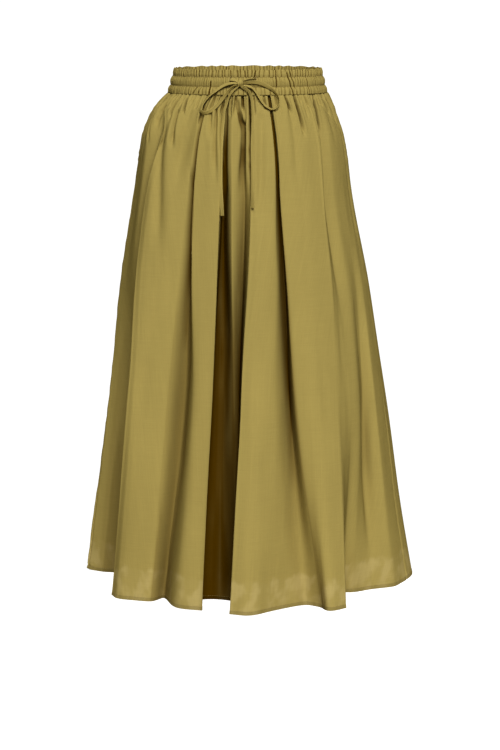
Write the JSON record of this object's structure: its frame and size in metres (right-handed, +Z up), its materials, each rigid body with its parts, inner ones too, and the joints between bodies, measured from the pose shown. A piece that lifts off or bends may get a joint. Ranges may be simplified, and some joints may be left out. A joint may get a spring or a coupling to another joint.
{
  "type": "a-line skirt",
  "caption": "A-line midi skirt in plain cloth, gathered into a shirred elastic waistband with a drawstring tied in a bow, hanging in soft folds as worn.",
  "frame": {"origin": "middle of the waistband, on the axis of the waist opening, 20 mm below the band's top edge", "axes": "+Z up out of the waist opening, -Y towards the front with the bow, +X to the right as the front is looked at"},
  "size_m": [0.588, 0.4862, 0.9],
  "materials": {
    "skirt_cloth": "matte cotton poplin",
    "waistband_cloth": "shirred matte cotton poplin",
    "drawstring_cloth": "flat tie of matte cotton poplin"
  },
  "bodies": {
    "root": {"front_panel": "skirt_cloth", "back_panel": "skirt_cloth", "waistband": "waistband_cloth", "drawstring_knot": "drawstring_cloth", "drawstring_lead_left": "drawstring_cloth", "drawstring_lead_right": "drawstring_cloth", "drawstring_loop_left": "drawstring_cloth", "drawstring_loop_right": "drawstring_cloth", "drawstring_tail_left": "drawstring_cloth", "drawstring_tail_right": "drawstring_cloth"}
  },
  "joints": []
}
